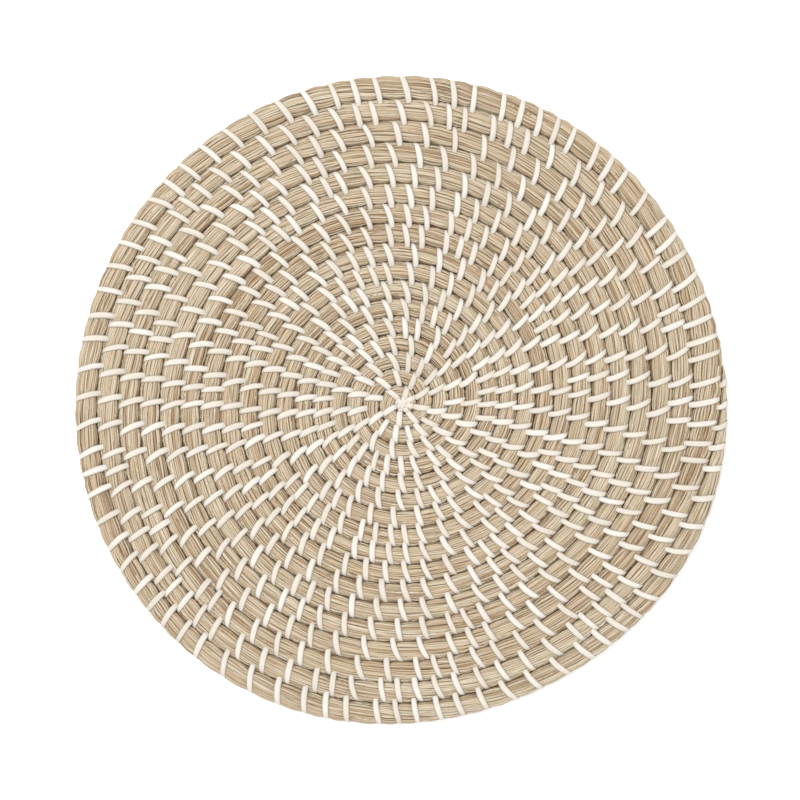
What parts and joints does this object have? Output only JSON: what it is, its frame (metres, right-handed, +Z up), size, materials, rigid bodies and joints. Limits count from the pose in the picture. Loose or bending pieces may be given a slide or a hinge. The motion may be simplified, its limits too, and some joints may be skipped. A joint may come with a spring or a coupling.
{
  "type": "coiled wicker placemat",
  "caption": "Round flat placemat of one rush bundle coiled in a spiral, with ribbed faces and its tail tapered into the rim.",
  "frame": {"origin": "middle of the mat's outline, on its underside", "axes": "+Z up through the mat; the coil winds counter-clockwise as it goes outward, seen from above, and its tail ends near +X"},
  "size_m": [0.3806, 0.3784, 0.009],
  "materials": {
    "rush": "dry natural rush stems, matt, straw to tan",
    "sewing_strip": "pale peeled rush strip that sews the coil, flat, smooth and matt"
  },
  "bodies": {
    "root": {"coiled_mat": "rush"}
  },
  "joints": []
}
